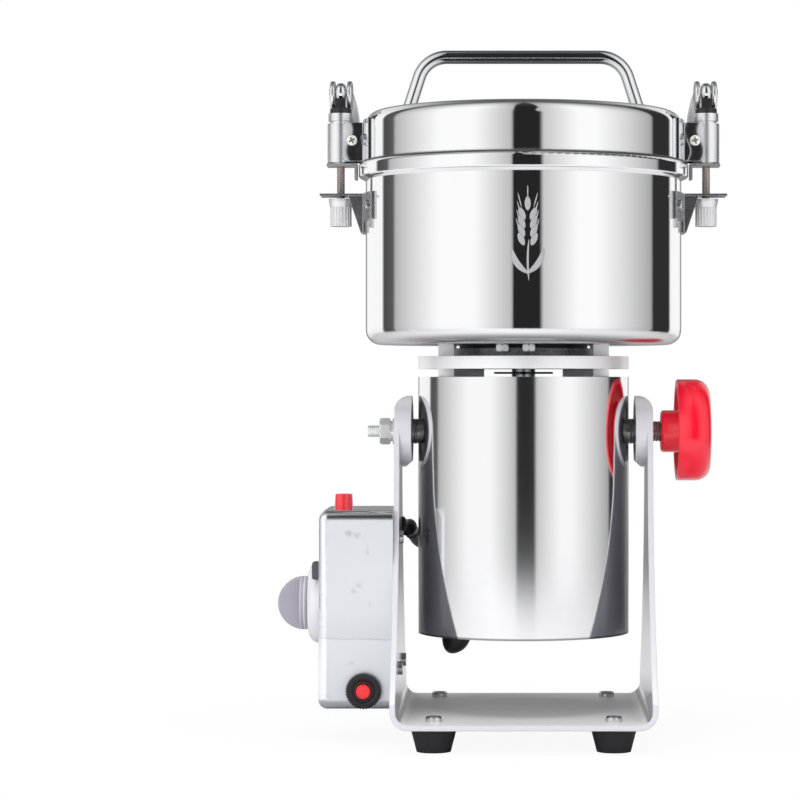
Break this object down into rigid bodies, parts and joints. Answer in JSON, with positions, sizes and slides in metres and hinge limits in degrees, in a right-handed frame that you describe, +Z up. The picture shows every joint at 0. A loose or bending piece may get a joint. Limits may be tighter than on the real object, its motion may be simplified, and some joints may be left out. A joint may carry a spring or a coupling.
{
  "type": "electric grain mill",
  "caption": "Electric grain mill: a lidded grinding bowl on an upright motor, swinging in a yoke stand with a side switch box, lock knob, timer dial and toggle clamps.",
  "frame": {"origin": "on the floor under the middle of the overall width and depth, level with the undersides of the feet", "axes": "+Z up, -Y towards the front, +X towards the lock knob; the mill's upright axis stands at x = 0.0108"},
  "size_m": [0.2274, 0.167, 0.3487],
  "materials": {
    "yoke_paint": "satin powder coat",
    "rubber": "matt",
    "zinc_screw": "bright zinc plating",
    "box_steel": "polished sheet",
    "zinc_plate": "plain sheet",
    "inner_plastic": "moulded",
    "bezel_plastic": "moulded",
    "lamp_red": "clear red moulding",
    "black_plastic": "moulded",
    "cable_sheath": "flexible sheath",
    "sleeve_steel": "polished with fine turning lines",
    "cast_aluminium": "as cast",
    "core_iron": "laminated",
    "copper_wire": "varnished",
    "brass_holder": "plain",
    "bearing_steel": "ground",
    "bowl_steel": "mirror polish",
    "bracket_steel": "bright plating",
    "chrome_trim": "bright plating",
    "nut_alloy": "satin",
    "blade_steel": "ground",
    "silicone": "translucent white",
    "knob_red": "glossy moulding",
    "dial_grey": "moulded",
    "rocker_grey": "moulded",
    "button_red": "moulded"
  },
  "bodies": {
    "stand": {"yoke": "yoke_paint", "rubber_feet": "rubber", "stand_fasteners": "zinc_screw", "switch_box": "box_steel", "box_back_plate": "zinc_plate", "timer_unit": "inner_plastic", "dial_bezel": "bezel_plastic", "indicator_lamp": "lamp_red", "breaker_body": "black_plastic", "terminal_block": "inner_plastic", "cord_gland": "black_plastic", "cable_elbow": "black_plastic", "motor_cable": "cable_sheath"},
    "mill": {"motor_sleeve": "sleeve_steel", "motor_base_cover": "black_plastic", "end_bell": "cast_aluminium", "stator_core": "core_iron", "field_windings": "copper_wire", "brush_gear": "brass_holder", "bearings": "bearing_steel", "through_bolts": "zinc_screw", "pivot_bolt": "zinc_screw", "pivot_stud": "zinc_screw", "pivot_nuts": "zinc_screw", "bowl_gasket": "rubber", "bowl": "bowl_steel", "shaft_seal": "rubber", "bowl_fasteners": "chrome_trim", "bowl_brackets": "bracket_steel", "base_gland": "black_plastic"},
    "rotor": {"rotor_shaft": "bearing_steel", "armature_core": "core_iron", "armature_winding": "copper_wire", "commutator": "copper_wire", "cooling_fan": "inner_plastic", "shaft_collars": "black_plastic", "blades": "blade_steel", "blade_nut": "blade_steel"},
    "lid": {"lid_shell": "bowl_steel", "lid_gasket": "silicone", "lid_handle": "chrome_trim", "lid_brackets": "chrome_trim", "lid_fasteners": "chrome_trim"},
    "lock_knob": {"lock_knob": "knob_red"},
    "timer_knob": {"timer_knob": "dial_grey"},
    "rocker": {"rocker": "rocker_grey"},
    "reset_button": {"reset_button": "button_red"},
    "clamp_left": {"clamp_barrel_left": "chrome_trim", "clamp_cap_left": "black_plastic"},
    "rod_left": {"clamp_rod_left": "zinc_screw"},
    "lever_left": {"clamp_lever_left": "chrome_trim"},
    "washer_left": {"clamp_washer_left": "nut_alloy"},
    "nut_left": {"clamp_nut_left": "nut_alloy"},
    "clamp_right": {"clamp_barrel_right": "chrome_trim", "clamp_cap_right": "black_plastic"},
    "rod_right": {"clamp_rod_right": "zinc_screw"},
    "lever_right": {"clamp_lever_right": "chrome_trim"},
    "washer_right": {"clamp_washer_right": "nut_alloy"},
    "nut_right": {"clamp_nut_right": "nut_alloy"}
  },
  "joints": [
    {"name": "tilt", "type": "hinge", "parent": "stand", "child": "mill", "pos_m": [0.0108, 0, 0.1554], "axis": [1, 0, 0], "range_deg": [-95, 95], "deforming": ["motor_cable"]},
    {"name": "rotor_spin", "type": "hinge", "parent": "mill", "child": "rotor", "pos_m": [0.0108, 0, 0.1], "axis": [0, 0, 1], "continuous": true},
    {"name": "lid_lift", "type": "slide", "parent": "mill", "child": "lid", "axis": [0, 0, 1], "range_m": [0, 0.01]},
    {"name": "knob_turn", "type": "hinge", "parent": "mill", "child": "lock_knob", "pos_m": [0.0908, 0, 0.1554], "axis": [1, 0, 0], "range_deg": [0, 360]},
    {"name": "dial_turn", "type": "hinge", "parent": "stand", "child": "timer_knob", "pos_m": [-0.1012, 0, 0.0684], "axis": [-1, 0, 0], "range_deg": [0, 300]},
    {"name": "rocker_tilt", "type": "hinge", "parent": "stand", "child": "rocker", "pos_m": [-0.0904, -0.02, 0.086], "axis": [0, 1, 0], "range_deg": [-8, 8]},
    {"name": "reset_push", "type": "slide", "parent": "stand", "child": "reset_button", "axis": [0, 1, 0], "range_m": [0, 0.0018], "stiffness_N_per_m": 400},
    {"name": "clamp_swing_left", "type": "hinge", "parent": "lid", "child": "clamp_left", "pos_m": [-0.0758, 0, 0.3023], "axis": [0, 1, 0], "range_deg": [0, 32]},
    {"name": "rod_drop_left", "type": "slide", "parent": "clamp_left", "child": "rod_left", "axis": [0, 0, -1], "range_m": [0, 0.005]},
    {"name": "lever_flip_left", "type": "hinge", "parent": "rod_left", "child": "lever_left", "pos_m": [-0.0819, 0, 0.3275], "axis": [1, 0, 0], "range_deg": [0, 90]},
    {"name": "washer_slide_left", "type": "slide", "parent": "rod_left", "child": "washer_left", "axis": [0, 0, -1], "range_m": [0, 0.01]},
    {"name": "nut_turn_left", "type": "hinge", "parent": "washer_left", "child": "nut_left", "pos_m": [-0.0819, 0, 0.27327], "axis": [0, 0, 1], "continuous": true},
    {"name": "clamp_swing_right", "type": "hinge", "parent": "lid", "child": "clamp_right", "pos_m": [0.0974, 0, 0.3023], "axis": [0, -1, 0], "range_deg": [0, 32]},
    {"name": "rod_drop_right", "type": "slide", "parent": "clamp_right", "child": "rod_right", "axis": [0, 0, -1], "range_m": [0, 0.005]},
    {"name": "lever_flip_right", "type": "hinge", "parent": "rod_right", "child": "lever_right", "pos_m": [0.1035, 0, 0.3275], "axis": [1, 0, 0], "range_deg": [0, 90]},
    {"name": "washer_slide_right", "type": "slide", "parent": "rod_right", "child": "washer_right", "axis": [0, 0, -1], "range_m": [0, 0.01]},
    {"name": "nut_turn_right", "type": "hinge", "parent": "washer_right", "child": "nut_right", "pos_m": [0.1035, 0, 0.27327], "axis": [0, 0, 1], "continuous": true}
  ],
  "couplings": [
    {"joint": "rod_drop_left", "follows": "clamp_swing_left", "m_per_rad": 0.008951},
    {"joint": "lever_flip_left", "follows": "clamp_swing_left", "ratio": 2.8125},
    {"joint": "washer_slide_left", "follows": "lid_lift", "ratio": 1},
    {"joint": "rod_drop_right", "follows": "clamp_swing_right", "m_per_rad": 0.008951},
    {"joint": "lever_flip_right", "follows": "clamp_swing_right", "ratio": 2.8125},
    {"joint": "washer_slide_right", "follows": "lid_lift", "ratio": 1}
  ]
}
